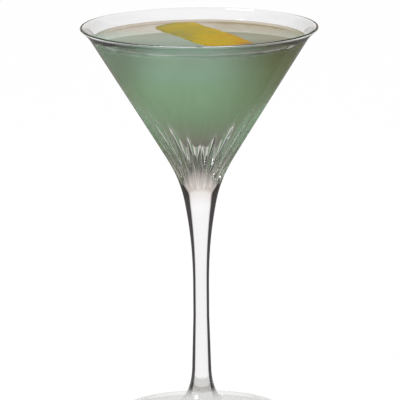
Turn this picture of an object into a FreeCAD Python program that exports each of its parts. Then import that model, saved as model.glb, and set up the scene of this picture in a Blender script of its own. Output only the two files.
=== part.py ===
"""Absinthe cocktail in its stemmed glass: a fluted V bowl on a slim stem, the cloudy
drink that fills it and a broad strip of citrus peel afloat in the drink.

Millimetres, +Z up. The origin is the middle of the foot's underside.
"""
import FreeCAD, Part

import math
import os

import Sketcher

Vec = FreeCAD.Vector

# ---------------------------------------------------------------- driving sizes

SIZES = [
    ("total_height", 190.0, "foot to rim"),
    ("rim_radius", 57.5, "outside of the rim"),
    ("rim_wall", 1.3, "thickness of the rounded rim"),
    ("lip_height", 6.0, "height of the flared lip"),
    ("lip_flare", 5.0, "how far the lip spreads outwards"),
    ("lip_wall", 1.9, "wall where the lip meets the cone, measured level"),
    ("cone_height", 56.3, "straight outer cone, from the lip down"),
    ("cone_end_radius", 17.4, "outside of the cone where it meets the neck"),
    ("neck_radius", 7.6, "outside of the neck under the bowl"),
    ("neck_height", 103.8, "height of that place on the neck"),
    ("stem_radius", 3.85, "the slimmest part of the stem"),
    ("stem_top", 62.0, "where the stem starts to widen to the neck"),
    ("stem_bottom", 48.0, "where the stem starts to widen to the foot"),
    ("ankle_radius", 4.6, "stem just over the foot"),
    ("ankle_height", 22.0, "height of the ankle"),
    ("sweep_radius", 10.2, "middle of the sweep from ankle to foot"),
    ("sweep_height", 6.8, "height of that place"),
    ("saddle_radius", 14.0, "where the sweep runs out on the foot"),
    ("saddle_height", 4.8, "height of that place"),
    ("foot_radius", 38.5, "outside of the foot"),
    ("foot_edge", 2.0, "thickness of the foot's rounded edge"),
    ("well_depth", 53.5, "rim to the bottom of the inside"),
    ("knee_radius", 4.2, "where the inner cone turns into the rounded bottom"),
    ("knee_height", 1.75, "height of that place over the bottom"),
    ("flute_count", 21.0, "flutes round the bowl"),
    ("flute_phase", 5.8, "turn of the first flute, degrees"),
    ("flute_top_gap", 3.0, "rim to the upper end of the flutes"),
    ("flute_top_depth", 0.3, "depth of a flute under the lip"),
    ("flute_root_depth", 0.6, "depth of a flute where the cone ends"),
    ("flute_tip_drop", 16.0, "cone's end to the flutes' pointed tips"),
    ("flute_tip_radius", 10.2, "radius at which a flute leaves the neck"),
    ("flute_top_round", 20.0, "hollow of a flute at its top"),
    ("flute_tip_round", 1.2, "hollow of a flute at its tip"),
    ("fill_gap", 6.0, "free height from the drink to the rim"),
    ("drink_clearance", 0.05, "drink to glass"),
    ("peel_length", 97.0, "peel strip along its long edge"),
    ("peel_width", 24.0, "peel strip, across"),
    ("peel_thick", 2.2, "skin and pith"),
    ("peel_curl", 1600.0, "radius to which the strip is domed"),
    ("peel_proud", 0.6, "how far the strip's crown stands over the drink"),
    ("peel_back_slant", 12.0, "how far the back end is cut on the slant"),
    ("peel_front_slant", 26.0, "how far the front end is cut on the slant"),
    ("peel_corner", 4.0, "rounded corners"),
    ("peel_x", 3.8, "middle of the strip, to the right"),
    ("peel_y", 5.4, "middle of the strip, to the back"),
    ("peel_turn", -65.0, "heading of the strip, degrees"),
    ("peel_clearance", 0.5, "peel to glass"),
]


class Size:
    """A length with the sheet expression that drives it."""

    def __init__(self, value, text):
        self.value = value
        self.text = text

    def _with(self, other, sign, value):
        text = other.text if isinstance(other, Size) else repr(float(other))
        return Size(value, "(" + self.text + " " + sign + " " + text + ")")

    def __add__(self, other):
        return self._with(other, "+", self.value + number(other))

    def __sub__(self, other):
        return self._with(other, "-", self.value - number(other))

    def __mul__(self, other):
        return self._with(other, "*", self.value * number(other))

    def __truediv__(self, other):
        return self._with(other, "/", self.value / number(other))


def number(item):
    return item.value if isinstance(item, Size) else float(item)


doc = FreeCAD.newDocument("AbsintheCocktail")
sheet = doc.addObject("Spreadsheet::Sheet", "Sizes")
size = {}
for row, (alias, value, note) in enumerate(SIZES, start=1):
    sheet.set("A%d" % row, alias)
    sheet.set("B%d" % row, str(value))
    sheet.setAlias("B%d" % row, alias)
    sheet.set("C%d" % row, note)
    size[alias] = Size(value, "Sizes." + alias)
doc.recompute()

ZERO = Size(0.0, "0")
NEAR = 1e-6  # two points closer than this are one

# ---------------------------------------------------------------- sketch helpers


def plane(body, role):
    for feature in body.Origin.OriginFeatures:
        if feature.Role == role:
            return feature
    raise ValueError("no plane " + role)


def new_sketch(body, role, name):
    sketch = body.newObject("Sketcher::SketchObject", name)
    sketch.AttachmentSupport = [(plane(body, role), "")]
    sketch.MapMode = "FlatFace"
    return sketch


def pin(sketch, curve, end, point):
    """Ties one end of a curve to its place, by two driven distances from the origin."""
    for kind, place in (("DistanceX", point[0]), ("DistanceY", point[1])):
        if place is ZERO:
            axis = -2 if kind == "DistanceX" else -1
            sketch.addConstraint(Sketcher.Constraint("PointOnObject", curve, end, axis))
            continue
        rule = sketch.addConstraint(
            Sketcher.Constraint(kind, -1, 1, curve, end, place.value))
        sketch.setExpression("Constraints[%d]" % rule, place.text)


def flat(point):
    return Vec(number(point[0]), number(point[1]), 0)


def bulge(start, heading, end):
    """Middle of the arc that leaves start along heading and reaches end."""
    chord = end - start
    side = Vec(-chord.y, chord.x, 0).normalize()
    turn = heading.getAngle(chord)
    if side.dot(heading) < 0:
        side = side * -1
    return (start + end) * 0.5 + side * (chord.Length / 2 * math.tan(turn / 2))


def middle_of_span(kind, start, end, heading, after):
    """A third point of the arc from start to end, by the kind of span that it is."""
    if kind == "smooth":
        return bulge(start, heading, end)
    if kind == "meets":
        return bulge(end, end - after, start)
    if kind == "axis":
        rise = start.y - end.y
        radius = (start.x ** 2 + rise ** 2) / (2 * rise)
        half = math.asin(min(1.0, start.x / radius)) / 2
        return Vec(radius * math.sin(half), end.y + radius * (1 - math.cos(half)), 0)
    chord = end - start
    side = Vec(-chord.y, chord.x, 0)
    if side.x + side.y < 0:
        side = side * -1
    return (start + end + side) * 0.5


def draw_outline(sketch, places):
    """Draws a closed outline through its places, each (across, up) or (across, up, kind).

    The kind is that of the span that leaves the place: "smooth" is an arc that leaves
    the span before it without a corner, "meets" is one that runs into the line after
    it, "round" is a half circle that bulges to the right or upwards, and "axis" is one
    whose centre lies on the sketch's upright axis. A span with no kind is straight.
    """
    count = len(places)
    corners = [flat(place) for place in places]
    kinds = [place[2] if len(place) > 2 else None for place in places]
    ends = []
    heading = None
    for span, kind in enumerate(kinds):
        start, end, after = (corners[(span + step) % count] for step in range(3))
        if kind is None:
            curve = sketch.addGeometry(Part.LineSegment(start, end))
            heading = end - start
        else:
            middle = middle_of_span(kind, start, end, heading, after)
            curve = sketch.addGeometry(Part.Arc(start, middle, end))
            spoke = end - sketch.Geometry[curve].Center
            heading = Vec(-spoke.y, spoke.x, 0)
            if heading.dot(end - middle) < 0:
                heading = heading * -1
        first = 1 if sketch.getPoint(curve, 1).isEqual(start, NEAR) else 2
        ends.append((curve, first, 3 - first))
        pin(sketch, curve, first, places[span])
    for span, kind in enumerate(kinds):
        curve, _, last = ends[span]
        after, first, _ = ends[(span + 1) % count]
        smooth = kinds[(span + 1) % count] == "smooth" or kind == "meets"
        joint = "Tangent" if smooth else "Coincident"
        sketch.addConstraint(Sketcher.Constraint(joint, curve, last, after, first))
        if kind == "axis":
            sketch.addConstraint(Sketcher.Constraint("PointOnObject", curve, 3, -2))
        if kind == "round":
            sketch.addConstraint(Sketcher.Constraint("Symmetric", curve, 1, curve, 2, curve, 3))
    return ends


def revolve(body, sketch, name):
    solid = body.newObject("PartDesign::Revolution", name)
    solid.Profile = sketch
    solid.ReferenceAxis = (sketch, ["V_Axis"])
    solid.Angle = 360.0
    return solid


# ---------------------------------------------------------------- shared places

lip_base_radius = size["rim_radius"] - size["lip_flare"]
lip_base = size["total_height"] - size["lip_height"]
cone_end_radius = size["cone_end_radius"]
cone_end = lip_base - size["cone_height"]
well_bottom = size["total_height"] - size["well_depth"]


def inside(clearance):
    """Places on the inner wall, from the lip's base down to the bottom."""
    return [
        (lip_base_radius - size["lip_wall"] - clearance, lip_base),
        (size["knee_radius"] - clearance, well_bottom + size["knee_height"], "axis"),
        (ZERO, well_bottom + clearance),
    ]


# ---------------------------------------------------------------- glass
# One piece of clear glass: rounded foot, drawn stem, thick-bottomed V bowl, thin lip.

glass = doc.addObject("PartDesign::Body", "Glass")
glass.Label = "glass"

half_edge = size["foot_edge"] / 2
half_rim = size["rim_wall"] / 2
rim_shoulder = size["total_height"] - half_rim
outline = [
    (ZERO, ZERO),
    (size["foot_radius"] - half_edge, ZERO, "round"),
    (size["foot_radius"] - half_edge, size["foot_edge"]),
    (size["saddle_radius"], size["saddle_height"], "smooth"),
    (size["sweep_radius"], size["sweep_height"], "meets"),
    (size["ankle_radius"], size["ankle_height"]),
    (size["stem_radius"], size["stem_bottom"]),
    (size["stem_radius"], size["stem_top"], "smooth"),
    (size["neck_radius"], size["neck_height"], "smooth"),
    (cone_end_radius, cone_end),
    (lip_base_radius, lip_base, "smooth"),
    (size["rim_radius"], rim_shoulder, "round"),
    (size["rim_radius"] - size["rim_wall"], rim_shoulder, "meets"),
] + inside(0)
glass_sketch = new_sketch(glass, "XZ_Plane", "GlassOutline")
draw_outline(glass_sketch, outline)
revolve(glass, glass_sketch, "GlassBlank")
doc.recompute()

# Each flute is a hollow turned about a slanting line outside the bowl: shallow under the
# lip, deepest where the cone ends, and running out in a point on the neck.
cone_spread = lip_base_radius - cone_end_radius
cone_length = math.hypot(size["cone_height"].value, cone_spread.value)
lean_up = size["cone_height"] / cone_length
lean_out = cone_spread / cone_length
flute_top = size["total_height"] - size["flute_top_gap"]
over_lip = flute_top - lip_base
flute_top_radius = lip_base_radius + over_lip * lean_out / lean_up.value - size["flute_top_depth"]
flute_root_radius = cone_end_radius - size["flute_root_depth"]
flute_tip = cone_end - size["flute_tip_drop"]
flute_outline = [
    (size["flute_tip_radius"], flute_tip, "meets"),
    (flute_root_radius, cone_end),
    (flute_top_radius, flute_top),
    (flute_top_radius + lean_up * size["flute_top_round"],
     flute_top - lean_out * size["flute_top_round"]),
    (size["flute_tip_radius"] + lean_up * size["flute_tip_round"],
     flute_tip - lean_out * size["flute_tip_round"]),
]
flute_sketch = new_sketch(glass, "XZ_Plane", "FluteOutline")
flute_spans = draw_outline(flute_sketch, flute_outline)
flute = glass.newObject("PartDesign::Groove", "Flute")
flute.Profile = flute_sketch
flute.ReferenceAxis = (flute_sketch, ["Edge%d" % (flute_spans[3][0] + 1)])
flute.Angle = 360.0
doc.recompute()
flutes = glass.newObject("PartDesign::PolarPattern", "Flutes")
flutes.Originals = [flute]
flutes.Axis = (plane(glass, "Z_Axis"), [""])
flutes.Angle = 360.0
flutes.setExpression("Occurrences", "Sizes.flute_count")
glass.Tip = flutes
doc.recompute()
glass.Placement = FreeCAD.Placement(Vec(), FreeCAD.Rotation(Vec(0, 0, 1), 0))
glass.setExpression("Placement.Rotation.Angle", "Sizes.flute_phase")
doc.recompute()

# ---------------------------------------------------------------- inside of the bowl


def inside_space(name, clearance):
    """The room in the bowl up to the rim, kept clear of the glass."""
    body = doc.addObject("PartDesign::Body", name)
    sketch = new_sketch(body, "XZ_Plane", name + "Outline")
    draw_outline(sketch, [
        (ZERO, rim_shoulder),
        (size["rim_radius"] - size["rim_wall"] - clearance, rim_shoulder, "meets"),
    ] + inside(clearance))
    body.Tip = revolve(body, sketch, name + "Solid")
    return body


level = size["total_height"] - size["fill_gap"]

# ---------------------------------------------------------------- peel
# A broad swath pared off a citrus fruit, domed a little, that floats just proud. Its
# ends are cut on the slant, and its back end is bounded by the wall, which it keeps
# clear of. The blade that gives its outline is as deep as the strip is wide, which is
# ample for the dome.

blade = doc.addObject("PartDesign::Body", "PeelBlade")
blade_sketch = new_sketch(blade, "XY_Plane", "PeelOutline")
half_length = size["peel_length"] / 2
half_width = size["peel_width"] / 2
draw_outline(blade_sketch, [
    (size["peel_back_slant"] - half_length, ZERO - half_width),
    (half_length - size["peel_front_slant"], ZERO - half_width),
    (half_length, half_width),
    (ZERO - half_length, half_width),
])
blade_pad = blade.newObject("PartDesign::Pad", "PeelPrism")
blade_pad.Profile = blade_sketch
blade_pad.setExpression("Length", "Sizes.peel_width")
blade_pad.Midplane = True
doc.recompute()
rounded = blade.newObject("PartDesign::Fillet", "PeelCorners")
upright = [
    "Edge%d" % (index + 1)
    for index, edge in enumerate(blade_pad.Shape.Edges)
    if abs(edge.Vertexes[0].Z - edge.Vertexes[1].Z) > NEAR
]
rounded.Base = (blade_pad, upright)
rounded.setExpression("Radius", "Sizes.peel_corner")
blade.Tip = rounded


def dome(name, radius):
    ball = doc.addObject("Part::Sphere", name)
    ball.setExpression("Radius", radius.text)
    ball.setExpression("Placement.Base.z", "-Sizes.peel_curl")
    return ball


hull = doc.addObject("Part::Cut", "PeelDome")
hull.Base = dome("PeelSkin", size["peel_curl"])
hull.Tool = dome("PeelPith", size["peel_curl"] - size["peel_thick"])
strip = doc.addObject("Part::Common", "PeelStrip")
strip.Base = blade
strip.Tool = hull
strip.Placement = FreeCAD.Placement(Vec(), FreeCAD.Rotation(Vec(0, 0, 1), 0))
for key, rule in (
    ("Base.x", "Sizes.peel_x"),
    ("Base.y", "Sizes.peel_y"),
    ("Base.z", (level + size["peel_proud"]).text),
    ("Rotation.Angle", "Sizes.peel_turn"),
):
    strip.setExpression("Placement." + key, rule)
peel = doc.addObject("Part::Common", "Peel")
peel.Label = "peel"
peel.Base = strip
peel.Tool = inside_space("PeelRoom", size["peel_clearance"])
doc.recompute()

# ---------------------------------------------------------------- drink
# Cloudy drink up to its level, cut round the peel that lies in it.

below = doc.addObject("Part::Cylinder", "BelowLevel")
below.setExpression("Radius", "Sizes.rim_radius")
below.setExpression("Height", level.text)
poured = doc.addObject("Part::Common", "Poured")
poured.Base = inside_space("DrinkRoom", size["drink_clearance"])
poured.Tool = below
drink = doc.addObject("Part::Cut", "Drink")
drink.Label = "drink"
drink.Base = poured
drink.Tool = peel
doc.recompute()

# ---------------------------------------------------------------- check and write

for item in doc.Objects:
    if "Invalid" in item.State or "Error" in item.State:
        raise RuntimeError("failed: " + item.Label)

os.makedirs("parts", exist_ok=True)
for item in (glass, drink, peel):
    shape = item.Shape
    if shape.isNull() or not shape.isValid() or len(shape.Solids) != 1:
        raise RuntimeError("bad solid: " + item.Label)
    box = shape.optimalBoundingBox(False)
    print("%-6s %8.1f ml  faces %3d  x %.1f..%.1f  y %.1f..%.1f  z %.1f..%.1f" % (
        item.Label, shape.Volume / 1000, len(shape.Faces),
        box.XMin, box.XMax, box.YMin, box.YMax, box.ZMin, box.ZMax))
    shape.exportStep("parts/" + item.Label + ".step")
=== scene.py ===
"""Absinthe cocktail: a fluted V glass on a slim stem, its cloudy drink and a peel strip."""
import math

import bmesh
import bpy
from mathutils import Vector, Matrix
from mathutils.geometry import interpolate_bezier


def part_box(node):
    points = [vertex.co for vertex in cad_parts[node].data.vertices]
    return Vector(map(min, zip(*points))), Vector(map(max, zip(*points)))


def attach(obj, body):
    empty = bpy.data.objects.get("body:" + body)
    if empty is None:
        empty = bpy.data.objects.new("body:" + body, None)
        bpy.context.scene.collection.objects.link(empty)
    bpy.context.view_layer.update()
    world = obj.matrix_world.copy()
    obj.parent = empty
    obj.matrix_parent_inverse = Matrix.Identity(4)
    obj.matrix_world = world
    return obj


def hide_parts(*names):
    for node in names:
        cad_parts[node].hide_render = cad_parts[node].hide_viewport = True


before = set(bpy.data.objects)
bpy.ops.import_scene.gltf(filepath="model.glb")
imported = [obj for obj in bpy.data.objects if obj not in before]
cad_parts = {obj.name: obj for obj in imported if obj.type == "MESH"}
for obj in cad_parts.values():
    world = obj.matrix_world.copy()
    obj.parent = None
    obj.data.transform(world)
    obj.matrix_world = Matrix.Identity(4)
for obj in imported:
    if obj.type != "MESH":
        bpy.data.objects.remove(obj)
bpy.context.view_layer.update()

# ---------------------------------------------------------------- the glass
# One piece of clear soda-lime glass: the bowl is pressed thick at its bottom, with flutes
# outside, and fire-polished, the stem is drawn from it, and the foot is pressed on.

MM = 0.001
glass_low, glass_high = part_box("glass")
RIM_HEIGHT = glass_high[2]
RIM_RADIUS = (glass_high[0] - glass_low[0]) / 2
RIM_WALL = 1.3 * MM
LIP_HEIGHT = 6.0 * MM
LIP_FLARE = 5.0 * MM
LIP_WALL = 1.9 * MM
CONE_HEIGHT = 56.3 * MM
CONE_SPREAD = 35.1 * MM
WELL_DEPTH = 53.5 * MM
KNEE = (4.2 * MM, 1.75 * MM)
NECK = (7.6 * MM, 103.8 * MM)
STEM_RADIUS = 3.85 * MM
STEM_LOW, STEM_HIGH = 48.0 * MM, 62.0 * MM
ANKLE = (4.6 * MM, 22.0 * MM)
SADDLE = (14.0 * MM, 4.8 * MM)
FOOT_RADIUS = 38.5 * MM
FOOT_EDGE = 2.0 * MM
FOOT_ROUNDING = 1.0 * MM
FLUTES = 21
FLUTE_PHASE = math.radians(5.8)
FLUTE_TIP_DROP = 15.0 * MM
FLUTE_ROOT_RISE = 4.0 * MM
FLUTE_ROOT_DEPTH = 1.25 * MM
FLUTE_TOP_DEPTH = 0.35 * MM
FLUTE_TOP_GAP = 2.0 * MM
FLUTE_REACH = 0.3 * MM
FLUTE_RUN_OUT = 0.125
STEPS_PER_FLUTE = 20
BEND_FULLNESS = 0.36


def bend(start, lean_in, lean_out, end, count):
    """Points of a smooth bend in the upright plane, without its last point."""
    reach = (Vector(end) - Vector(start)).length * BEND_FULLNESS
    near = Vector(start) + Vector(lean_in).normalized() * reach
    far = Vector(end) - Vector(lean_out).normalized() * reach
    points = interpolate_bezier(Vector(start), near, far, Vector(end), count + 1)
    return [Vector((p[0], p[1])) for p in points[:-1]]


def straight(start, end, count):
    """Points of a straight line in the upright plane, without its last point."""
    start, end = Vector(start), Vector(end)
    return [start.lerp(end, step / count) for step in range(count)]


lip_base_radius = RIM_RADIUS - LIP_FLARE
lip_base = RIM_HEIGHT - LIP_HEIGHT
cone_end_radius = lip_base_radius - CONE_SPREAD
cone_end = lip_base - CONE_HEIGHT
cone_lean = (CONE_SPREAD, CONE_HEIGHT)


def inner_wall(grow):
    """Inner wall from the lip's base to the bottom, moved out by grow."""
    brim = Vector((lip_base_radius - LIP_WALL + grow, lip_base))
    floor = RIM_HEIGHT - WELL_DEPTH - grow
    knee = Vector((KNEE[0] + grow, floor + KNEE[1]))
    return (
        straight(brim, knee, 34)
        + bend(knee, knee - brim, (-1, 0), (0, floor), 9)
        + [Vector((0, floor))]
    )


def outer_wall():
    """Outer surface from the middle of the underside up to the rim's shoulder."""
    under_edge = (FOOT_RADIUS - FOOT_ROUNDING, 0)
    over_edge = (FOOT_RADIUS - FOOT_ROUNDING, FOOT_EDGE)
    stem_low = (STEM_RADIUS, STEM_LOW)
    stem_high = (STEM_RADIUS, STEM_HIGH)
    cone_foot = (cone_end_radius, cone_end)
    lip = (lip_base_radius, lip_base)
    shoulder = (RIM_RADIUS, RIM_HEIGHT - RIM_WALL / 2)
    outwards, inwards, upwards = (1, 0), (-1, 0), (0, 1)
    saddle_lean, ankle_lean, neck_lean = (-1, 0.12), (-0.03, 1), (0.19, 1)
    shoulder_lean = (1.05, 1)
    return (
        straight((0, 0), under_edge, 6)
        + bend(under_edge, outwards, inwards, over_edge, 8)
        + straight(over_edge, SADDLE, 6)
        + bend(SADDLE, saddle_lean, ankle_lean, ANKLE, 20)
        + straight(ANKLE, stem_low, 4)
        + straight(stem_low, stem_high, 2)
        + bend(stem_high, upwards, neck_lean, NECK, 10)
        + bend(NECK, neck_lean, cone_lean, cone_foot, 26)
        + straight(cone_foot, lip, 36)
        + bend(lip, cone_lean, shoulder_lean, shoulder, 6)
    )


def rim_top():
    """The rounded rim and the inside of the lip, down to the lip's base."""
    shoulder = Vector((RIM_RADIUS, RIM_HEIGHT - RIM_WALL / 2))
    inner = shoulder - Vector((RIM_WALL, 0))
    brim = Vector((lip_base_radius - LIP_WALL, lip_base))
    inner_lean, brim_lean = (-1.25, -1), (-0.66, -1)
    over = [
        shoulder + RIM_WALL / 2 * Vector((math.cos(a) - 1, math.sin(a)))
        for a in (math.pi * step / 8 for step in range(8))
    ]
    return over + bend(inner, inner_lean, brim_lean, brim, 8)


def turned(profile, steps):
    """A closed solid of revolution from its half outline."""
    shell = bmesh.new()
    verts = [shell.verts.new((p[0], 0, p[1])) for p in profile]
    edges = [shell.edges.new(pair) for pair in zip(verts, verts[1:])]
    bmesh.ops.spin(shell, geom=verts + edges, cent=(0, 0, 0), axis=(0, 0, 1),
                   angle=math.tau, steps=steps, use_merge=True)
    poles = [v for v in shell.verts if v.co.xy.length < 1e-7]
    bmesh.ops.remove_doubles(shell, verts=poles, dist=1e-7)
    bmesh.ops.recalc_face_normals(shell, faces=shell.faces[:])
    return shell


def finish_piece(name, shell, smooth=True):
    """Makes a shell a piece of the scene, shaded smooth or flat."""
    mesh = bpy.data.meshes.new(name)
    shell.to_mesh(mesh)
    shell.free()
    mesh.polygons.foreach_set("use_smooth", [smooth] * len(mesh.polygons))
    piece = bpy.data.objects.new(name, mesh)
    bpy.context.scene.collection.objects.link(piece)
    return piece


def flute_depth(height, angle):
    """How deep the flutes are cut at a height and angle: round hollows with crisp ridges.

    Up to the root each flute widens from its pointed tip to the full pitch. Over the root
    it gets shallower, and it runs out just under the rim.
    """
    tip = cone_end - FLUTE_TIP_DROP
    root = cone_end + FLUTE_ROOT_RISE
    top = RIM_HEIGHT - FLUTE_TOP_GAP
    if not tip < height < top:
        return 0.0
    pitch = math.tau / FLUTES
    across = ((angle - FLUTE_PHASE) / pitch + 0.5) % 1.0 - 0.5
    if height < root:
        share = (height - tip) / (root - tip)
        return max(0.0, FLUTE_ROOT_DEPTH * (share ** 0.8 - (2 * across) ** 2))
    share = (height - root) / (top - root)
    run_out = min(1.0, (1 - share) / FLUTE_RUN_OUT)
    middle = (FLUTE_ROOT_DEPTH * (1 - share) ** 1.3 + FLUTE_TOP_DEPTH * share) * run_out
    return middle * (1 - (2 * across) ** 2)


glass_mesh = turned(outer_wall() + rim_top() + inner_wall(0), FLUTES * STEPS_PER_FLUTE)
# The flutes are pressed into the outside of the neck and the bowl alone.
for vert in glass_mesh.verts:
    height = vert.co.z
    radius = math.hypot(vert.co.x, vert.co.y)
    cone_radius = cone_end_radius + (height - cone_end) * CONE_SPREAD / CONE_HEIGHT
    inside_cone = height > cone_end and radius < cone_radius - FLUTE_REACH
    inside_lip = height > lip_base and radius < lip_base_radius - LIP_WALL / 2
    if inside_cone or inside_lip:
        continue
    depth = flute_depth(height, math.atan2(vert.co.y, vert.co.x))
    if depth > 0:
        vert.co.x *= 1 - depth / radius
        vert.co.y *= 1 - depth / radius
glass = finish_piece("stem_glass", glass_mesh)


def linear(code):
    """An sRGB hex colour as linear red, green, blue and alpha."""
    parts = [int(code[i:i + 2], 16) / 255 for i in (1, 3, 5)]
    light = [c / 12.92 if c <= 0.04045 else ((c + 0.055) / 1.055) ** 2.4 for c in parts]
    return (*light, 1.0)


def new_material(name):
    """A new material with its node tree, its shader and its output."""
    material = bpy.data.materials.new(name)
    material.use_nodes = True
    tree = material.node_tree
    return material, tree, tree.nodes["Principled BSDF"], tree.nodes["Material Output"]


def add_node(tree, kind, inputs=(), stops=(), **settings):
    """Adds a node with its settings. An input takes a value, a hex colour or a link."""
    node = tree.nodes.new("ShaderNode" + kind)
    for key, value in settings.items():
        setattr(node, key, value)
    for key, value in dict(inputs).items():
        if isinstance(value, bpy.types.NodeSocket):
            tree.links.new(value, node.inputs[key])
        else:
            node.inputs[key].default_value = linear(value) if isinstance(value, str) else value
    if stops:
        elements = node.color_ramp.elements
        while len(elements) < len(stops):
            elements.new(0.5)
        for element, (place, colour) in zip(elements, stops):
            element.position = place
            element.color = linear(colour)
    return node


# Where a Mix node takes its two colours, and where it gives the mixed one.
FIRST, SECOND, MIXED = 6, 7, 2

# Soda-lime glass, fire-polished: clear in the middle, with painted shade: dark lines painted
# into its colour where a thick, round section would turn the light away from the pale room.
# The stem is drawn and solid, so its painted lines are sharp; the bowl's wall is thin, so it
# is only painted grey towards its outline.
clear, tree, shader, output = new_material("soda-lime glass")
shader.inputs["Roughness"].default_value = 0.0
shader.inputs["IOR"].default_value = 1.5
shader.inputs["Transmission Weight"].default_value = 1.0
place = add_node(tree, "TexCoord").outputs["Object"]
height = add_node(tree, "SeparateXYZ", {"Vector": place}).outputs["Z"]
# Shares by height in millimetres: the stem over the foot, the bowl over the stem, the
# widening of the neck, over which the painted dark lines narrow, and the thin foot.
on_stem, on_bowl, widening, on_foot = (
    add_node(tree, "MapRange", interpolation_type="SMOOTHSTEP", inputs={
        "Value": height, "From Min": low * MM, "From Max": high * MM, "To Max": most,
    }).outputs["Result"]
    for low, high, most in ((7, 13, 1.0), (114, 122, 1.0), (108, 122, 0.6), (9, 5, 0.8))
)
facing = add_node(tree, "LayerWeight", {"Blend": 0.5}).outputs["Facing"]
narrowed = add_node(tree, "Math", {0: facing, 1: widening}, operation="SUBTRACT").outputs[0]
foot_tint = add_node(tree, "ValToRGB", {"Fac": facing}, stops=[
    (0.0, "#ffffff"), (0.7, "#fbfbfa"), (1.0, "#eef0ec")]).outputs["Color"]
# Painted shade: near-black lines in the stem's colour along its outline.
stem_painted_dark_edges = add_node(tree, "ValToRGB", {"Fac": narrowed}, stops=[
    (0.0, "#ffffff"), (0.24, "#fbf8fa"), (0.32, "#0b090a"), (1.0, "#050404")]).outputs["Color"]
# Painted shade: the bowl's colour greys at its very outline.
bowl_painted_edge_grey = add_node(tree, "ValToRGB", {"Fac": facing}, stops=[
    (0.0, "#ffffff"), (0.80, "#fdfdfd"), (0.96, "#eef0ec"), (1.0, "#a4a7a1")]).outputs["Color"]
tint_and_painted_edge_shade = foot_tint
for share, upper_painted_edge_shade in ((on_stem, stem_painted_dark_edges), (on_bowl, bowl_painted_edge_grey)):
    tint_and_painted_edge_shade = add_node(tree, "Mix", {"Factor": share, FIRST: tint_and_painted_edge_shade, SECOND: upper_painted_edge_shade},
                    data_type="RGBA").outputs[MIXED]
tree.links.new(tint_and_painted_edge_shade, shader.inputs["Base Color"])
# Light goes nearly straight through the foot, a thin plate, from the side too, and
# through all of the glass on its way to the drink and the table.
straight_through = add_node(tree, "BsdfTransparent", {"Color": "#f7f8f7"}).outputs["BSDF"]
thin_plate = add_node(tree, "MixShader", {
    0: on_foot, 1: shader.outputs["BSDF"], 2: straight_through}).outputs["Shader"]
rays = add_node(tree, "LightPath").outputs
lights_others = add_node(tree, "Math", {
    0: rays["Is Shadow Ray"], 1: rays["Is Diffuse Ray"]}, operation="MAXIMUM").outputs[0]
surface = add_node(tree, "MixShader", {
    0: lights_others, 1: thin_plate, 2: straight_through}).outputs["Shader"]
tree.links.new(surface, output.inputs["Surface"])
glass.data.materials.append(clear)
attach(glass, "root")
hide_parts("glass")

# ---------------------------------------------------------------- the drink
# Absinthe let down with cold water: the oils cloud it to a pale green milk. It wets the
# wall, climbs it a little at the edge, and its body reaches just into the glass.

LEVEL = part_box("drink")[1][2]
INTO_WALL = 0.15 * MM
MENISCUS_HEIGHT = 0.9 * MM
MENISCUS_REACH = 1.3 * MM
MENISCUS_LEAN = 0.35 * MM
MENISCUS_STEPS = (0, 0.3, 0.6, 1.0, 1.5, 2.2, 3.2, 4.6, 6.5)
FLAT_FROM_WALL = 8 * MM
UNDER_LEVEL = 0.2 * MM
DRINK_STEPS = 240

body_line = [p for p in inner_wall(INTO_WALL) if p[1] < LEVEL - UNDER_LEVEL]
edge_radius = lip_base_radius - LIP_WALL + INTO_WALL
climb = [
    Vector((edge_radius + MENISCUS_LEAN - reach,
            LEVEL + MENISCUS_HEIGHT * math.exp(-reach / MENISCUS_REACH)))
    for reach in (MM * step for step in MENISCUS_STEPS)
]
still = straight((edge_radius - FLAT_FROM_WALL, LEVEL), (0, LEVEL), 14) + [Vector((0, LEVEL))]
drink_mesh = turned(still[::-1] + climb[::-1] + body_line, DRINK_STEPS)
drink = finish_piece("louched_absinthe", drink_mesh)

# Louched absinthe: oil droplets that scatter the light, so it is a matt, greyish green
# inside and a still, glossy liquid on top. Painted light is in its colour: painted shade
# darkens it downwards and towards its left and right, most and warmest on the right, and a
# painted reflection of the pale room lightens the back of its top.
cloud, tree, shader, _ = new_material("louched absinthe")
shader.inputs["Roughness"].default_value = 0.03
shader.inputs["IOR"].default_value = 1.36
place = add_node(tree, "TexCoord").outputs["Object"]
where = add_node(tree, "SeparateXYZ", {"Vector": place}).outputs
up = add_node(tree, "MapRange", {
    "Value": where["Z"], "From Min": 137.5 * MM, "From Max": LEVEL}).outputs["Result"]
shares = {
    name: add_node(tree, "MapRange", interpolation_type="SMOOTHSTEP", inputs={
        "Value": where[axis], "From Min": low, "From Max": high}).outputs["Result"]
    for name, axis, low, high in (
        ("to the right", "X", 1 * MM, 42 * MM),
        ("to the left", "X", -16 * MM, -38 * MM),
        ("past the middle", "X", -2 * MM, 12 * MM),
        ("from the front", "Y", -34 * MM, 4 * MM),
        ("to the back", "Y", 0.0, 36 * MM),
        ("up the meniscus", "Z", LEVEL + 0.05 * MM, LEVEL + 0.3 * MM),
        ("up to the level", "Z", LEVEL - 0.15 * MM, LEVEL - 0.02 * MM),
    )
}
# The body's tones by height: darker and greyer downwards in painted shade, and olive and
# darker painted shade for its right and left parts.
tones = {
    name: add_node(tree, "ValToRGB", {"Fac": up}, stops=stops).outputs["Color"]
    for name, stops in (
        ("body", [(0.0, "#69685d"), (0.12, "#6e7963"), (0.30, "#6f8969"),
                  (0.60, "#7a9978"), (0.80, "#819d86"), (1.0, "#839984")]),
        ("right side in painted shade", [(0.0, "#605f52"), (0.30, "#5a6a3e"), (0.80, "#566033"),
                        (1.0, "#4f5432")]),
        ("left side in painted shade", [(0.0, "#646456"), (0.4, "#657955"), (1.0, "#687c68")]),
    )
}
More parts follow.
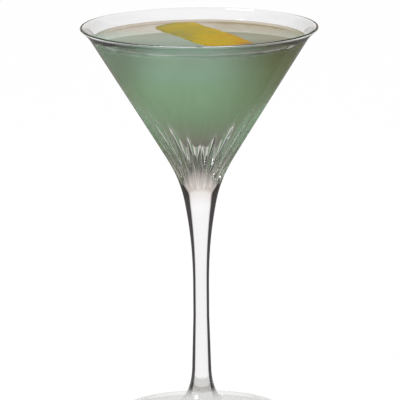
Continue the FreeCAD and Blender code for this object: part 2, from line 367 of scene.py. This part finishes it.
# Each row mixes a tone from two others, or from plain colours, along one of the shares.
for name, first, second, share in (
    ("body", "body", "right side in painted shade", "to the right"),
    ("body", "body", "left side in painted shade", "to the left"),
    # The top seen through the front wall: darker in painted shade, most towards its right.
    ("front", "#738f7c", "#3c3e24", "to the right"),
    ("front", "front", "#3f5544", "to the left"),
    # The middle of the top: warmer and darker to its right in painted shade.
    ("middle", "#96a696", "#8f9078", "to the right"),
    ("surface", "front", "middle", "from the front"),
    # The back of the top: a painted reflection of the pale room, beige, paler up the meniscus.
    ("back", "#a09684", "#85784c", "past the middle"),
    ("back", "back", "#bdb3a4", "up the meniscus"),
    ("surface", "surface", "back", "to the back"),
    ("drink", "body", "surface", "up to the level"),
):
    tones[name] = add_node(tree, "Mix", data_type="RGBA", inputs={
        "Factor": shares[share], FIRST: tones.get(first, first),
        SECOND: tones.get(second, second)}).outputs[MIXED]
tree.links.new(tones["drink"], shader.inputs["Base Color"])
drink.data.materials.append(cloud)
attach(drink, "root")
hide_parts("drink")

# ---------------------------------------------------------------- the peel
# A broad swath pared off a ripe citrus fruit with a peeler: pored waxy skin above, pale
# pith below and along the cut edges. It floats, domed a little, with its front end dipped.

PEEL_LENGTH = 97.0 * MM
PEEL_WIDTH = 24.0 * MM
PEEL_THICK = 2.2 * MM
PEEL_TURN = math.radians(-65.0)
PEEL_MIDDLE = Vector((3.8 * MM, 5.4 * MM, 0))
BACK_SLANT = 12.0 * MM
FRONT_SLANT = 26.0 * MM
PEEL_CORNER = 4.0 * MM
PEEL_CROWN = 0.6 * MM
PEEL_END_DROP = 0.45 * MM
PEEL_SIDE_DROP = 0.15 * MM
PEEL_TO_WALL = 0.6 * MM
ROOM_RADIUS = edge_radius - PEEL_TO_WALL
# Where the glass's axis lies in the strip's own directions.
glass_axis = Matrix.Rotation(-PEEL_TURN, 3, "Z") @ -PEEL_MIDDLE


def peel_point(along, across):
    """Where a place on the strip lies; along and across run from -1 to 1."""
    half = PEEL_LENGTH / 2
    y = across * PEEL_WIDTH / 2
    left = (1 - across) / 2
    into_corner = max(0.0, abs(y) - PEEL_WIDTH / 2 + PEEL_CORNER)
    pull = PEEL_CORNER - math.sqrt(PEEL_CORNER ** 2 - into_corner ** 2)
    # The back end stops short of the glass, and the front corners are the rounder ones.
    wall = glass_axis.x - math.sqrt(ROOM_RADIUS ** 2 - (y - glass_axis.y) ** 2)
    back = max(-half + BACK_SLANT * left + pull, wall)
    front = half - FRONT_SLANT * left - 1.6 * pull
    x = back + (front - back) * (along + 1) / 2
    # The peeler wavers a little on its way, and the strip isn't quite flat.
    y += (0.3 * MM * math.sin(5 * along + 1) + 0.2 * MM * math.sin(13 * along)) * abs(across)
    dome = PEEL_CROWN - PEEL_END_DROP * (x / half) ** 2 - PEEL_SIDE_DROP * across ** 2
    z = LEVEL + dome + 0.1 * MM * math.sin(3.1 * along + 2.0 * across)
    return Vector((x, y, z))


strip = bmesh.new()
bmesh.ops.create_grid(strip, x_segments=110, y_segments=40, size=1.0)
rind = strip.verts.layers.float.new("rind")
for vert in strip.verts:
    vert.co = peel_point(vert.co.x, vert.co.y)
    vert[rind] = 1.0
lower = bmesh.ops.extrude_face_region(strip, geom=strip.faces[:])
for vert in [g for g in lower["geom"] if isinstance(g, bmesh.types.BMVert)]:
    vert.co.z -= PEEL_THICK
    vert[rind] = 0.0
bmesh.ops.rotate(strip, verts=strip.verts[:], cent=(0, 0, 0),
                 matrix=Matrix.Rotation(PEEL_TURN, 3, "Z"))
bmesh.ops.translate(strip, verts=strip.verts[:], vec=PEEL_MIDDLE)
bmesh.ops.recalc_face_normals(strip, faces=strip.faces[:])
peel = finish_piece("citrus_peel", strip)
rounding = peel.modifiers.new("cut edge", "BEVEL")
rounding.width = 0.35 * MM
rounding.segments = 2
rounding.limit_method = "ANGLE"

# Citrus rind: wax over oil glands, so it has a soft sheen broken by pores 1.3 mm apart,
# and a colour that ripens from green-yellow to orange along the strip. The pith is matt.
PORE_SPACING = 1.3 * MM
PORE_DEPTH = 0.4 * MM
PATCH_SIZE = 18 * MM
skin, tree, shader, _ = new_material("waxy citrus rind over pith")
shader.inputs["Roughness"].default_value = 0.48
shader.inputs["IOR"].default_value = 1.45
shader.inputs["Specular IOR Level"].default_value = 0.15
place = add_node(tree, "TexCoord").outputs["Object"]
to_right = add_node(tree, "SeparateXYZ", {"Vector": place}).outputs["X"]
patches = add_node(tree, "TexNoise", {
    "Vector": place, "Scale": 1 / PATCH_SIZE, "Detail": 3.0}).outputs["Fac"]
mottle = add_node(tree, "MapRange", {
    "Value": patches, "From Min": 0.3, "From Max": 0.7, "To Min": -0.3, "To Max": 0.3})
ripeness = add_node(tree, "MapRange", {
    "Value": to_right, "From Min": -22 * MM, "From Max": 30 * MM})
ripe = add_node(tree, "Math", operation="ADD", inputs={
    0: ripeness.outputs["Result"], 1: mottle.outputs["Result"]}).outputs[0]
rind_tone = add_node(tree, "ValToRGB", {"Fac": ripe}, stops=[
    (0.0, "#8a864a"), (0.3, "#a99526"), (0.5, "#b69a18"), (0.8, "#b48412"),
    (1.0, "#8f7846")]).outputs["Color"]
skin_mark = add_node(tree, "Attribute", attribute_name="rind").outputs["Fac"]
on_rind = add_node(tree, "MapRange", interpolation_type="SMOOTHSTEP", inputs={
    "Value": skin_mark, "From Min": 0.5, "From Max": 0.85}).outputs["Result"]
tone = add_node(tree, "Mix", data_type="RGBA", inputs={
    "Factor": on_rind, FIRST: "#e6dcae", SECOND: rind_tone}).outputs[MIXED]
tree.links.new(tone, shader.inputs["Base Color"])
pores = add_node(tree, "TexVoronoi", {
    "Vector": place, "Scale": 1 / PORE_SPACING}).outputs["Distance"]
dimple = add_node(tree, "Bump", {"Height": pores, "Strength": 0.35, "Distance": PORE_DEPTH})
tree.links.new(dimple.outputs["Normal"], shader.inputs["Normal"])
peel.data.materials.append(skin)
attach(peel, "root")
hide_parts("peel")

# ---------------------------------------------------------------- floor, light and camera
# A white table top that runs back without an edge, in a pale room, with one soft lamp
# above it on the left. The glass stands a hair clear of it.

TABLE_REACH = 3.0
UNDER_FOOT = 0.3 * MM
TABLE_WHITENESS = 0.92

floor_mesh = bmesh.new()
bmesh.ops.create_grid(floor_mesh, x_segments=1, y_segments=1, size=TABLE_REACH)
bmesh.ops.translate(floor_mesh, verts=floor_mesh.verts[:], vec=(0, 0, -UNDER_FOOT))
floor = finish_piece("table", floor_mesh, smooth=False)

# White matt laminate: it is seen white, with a little of its own shade so that the shadow
# stays. Reflected in the glass it glows instead with a painted reflection, a duller white
# that brightens along the ground.
matt, tree, shader, output = new_material("white matt laminate")
shader.inputs["Base Color"].default_value = linear("#f4f4f4")
shader.inputs["Roughness"].default_value = 0.9
rays = add_node(tree, "LightPath").outputs
seen = add_node(tree, "Emission", {"Color": "#ffffff", "Strength": 1.0}).outputs["Emission"]
grazing = add_node(tree, "LayerWeight", {"Blend": 0.5}).outputs["Facing"]
# Painted reflection: the grey the table glows with in reflections, white where grazing.
table_painted_reflection = add_node(tree, "ValToRGB", {"Fac": grazing}, stops=[
    (0.0, "#aaa7a3"), (0.82, "#85827f"), (0.97, "#ffffff")]).outputs["Color"]
painted_reflection_glow = add_node(tree, "Emission", {"Color": table_painted_reflection, "Strength": 1.0})
own = add_node(tree, "MixShader", {
    0: rays["Is Glossy Ray"], 1: shader.outputs["BSDF"], 2: painted_reflection_glow.outputs["Emission"]})
direct = add_node(tree, "Math", operation="MAXIMUM", inputs={
    0: rays["Is Camera Ray"], 1: rays["Is Transmission Ray"]})
whiteness = add_node(tree, "Math", operation="MULTIPLY", inputs={
    0: direct.outputs[0], 1: TABLE_WHITENESS})
surface = add_node(tree, "MixShader", {
    0: whiteness.outputs[0], 1: own.outputs["Shader"], 2: seen})
tree.links.new(surface.outputs["Shader"], output.inputs["Surface"])
floor.data.materials.append(matt)

# The room: white to look at and as a light. In the glass and the drink it is a white
# skyline under a beige-grey wall that darkens upwards, a pale band, and a white ceiling.
world = bpy.data.worlds.new("pale room")
bpy.context.scene.world = world
world.use_nodes = True
tree = world.node_tree
white = tree.nodes["Background"]
white.inputs["Color"].default_value = linear("#ffffff")
white.inputs["Strength"].default_value = 1.0
way = add_node(tree, "TexCoord").outputs["Generated"]
rise = add_node(tree, "SeparateXYZ", {"Vector": way}).outputs["Z"]
in_mirror = add_node(tree, "ValToRGB", {"Fac": rise}, stops=[
    (0.0, "#ffffff"), (0.06, "#d8d0ca"), (0.165, "#a0958f"), (0.27, "#6f6966"),
    (0.42, "#3f3b3c"), (0.72, "#3f3b3c"), (0.88, "#a09c9a")]).outputs["Color"]
in_glass = add_node(tree, "ValToRGB", {"Fac": rise}, stops=[
    (0.0, "#ffffff"), (0.12, "#f2ece8"), (0.165, "#cfc6bf"), (0.22, "#c6beb9"),
    (0.33, "#9a9490"), (0.42, "#5a5654"), (0.51, "#454142"), (0.515, "#d6d2d0"),
    (0.57, "#d6d2d0"), (0.66, "#8a8582"), (0.80, "#8a8582"), (0.90, "#ffffff"),
]).outputs["Color"]
rays = add_node(tree, "LightPath").outputs
seen_room = add_node(tree, "Mix", data_type="RGBA", inputs={
    "Factor": rays["Is Transmission Ray"], FIRST: in_mirror, SECOND: in_glass})
room = add_node(tree, "Background", {"Color": seen_room.outputs[MIXED], "Strength": 1.0})
bent = add_node(tree, "Math", operation="MAXIMUM", inputs={
    0: rays["Is Glossy Ray"], 1: rays["Is Transmission Ray"]})
unscattered = add_node(tree, "Math", operation="LESS_THAN", inputs={
    0: rays["Diffuse Depth"], 1: 0.5})
shows_room = add_node(tree, "Math", operation="MULTIPLY", inputs={
    0: bent.outputs[0], 1: unscattered.outputs[0]})
air = add_node(tree, "MixShader", {
    0: shows_room.outputs[0], 1: white.outputs["Background"], 2: room.outputs["Background"]})
tree.links.new(air.outputs["Shader"], tree.nodes["World Output"].inputs["Surface"])


def soft_lamp(name, place, aim, width, power):
    """Adds a round lamp at a place, turned to what it lights."""
    data = bpy.data.lights.new(name, "AREA")
    data.shape = "DISK"
    data.size = width
    data.energy = power
    lamp = bpy.data.objects.new(name, data)
    lamp.location = place
    lamp.rotation_euler = (Vector(aim) - Vector(place)).to_track_quat("-Z", "Y").to_euler()
    bpy.context.scene.collection.objects.link(lamp)


soft_lamp("key", place=(-0.6, -0.5, 0.9), aim=(0, 0, 0.12), width=0.5, power=5.0)

# The camera looks down on the rim by a few degrees and is held a hair off level.
CAMERA_DISTANCE = 3.0
RIM_ELEVATION = math.radians(9.5)
WIDTH_AT_RIM = 192.5 * MM
RIM_ABOVE_CENTRE = 83.54 * MM
ASIDE = -0.22 * MM
ROLL = math.radians(-0.43)
SENSOR = 36.0
tilt = RIM_ELEVATION + math.atan(RIM_ABOVE_CENTRE / CAMERA_DISTANCE)
camera_data = bpy.data.cameras.new("camera")
camera_data.sensor_width = SENSOR
camera_data.lens = SENSOR * CAMERA_DISTANCE / WIDTH_AT_RIM
camera_data.clip_end = 20.0
camera = bpy.data.objects.new("camera", camera_data)
camera.location = Vector((ASIDE, 0, RIM_HEIGHT)) + CAMERA_DISTANCE * Vector(
    (0, -math.cos(RIM_ELEVATION), math.sin(RIM_ELEVATION)))
camera.rotation_euler = (math.pi / 2 - tilt, 0, 0)
camera.rotation_euler.rotate_axis("Z", ROLL)
bpy.context.scene.collection.objects.link(camera)
bpy.context.scene.camera = camera

bpy.context.scene.view_settings.view_transform = "Standard"
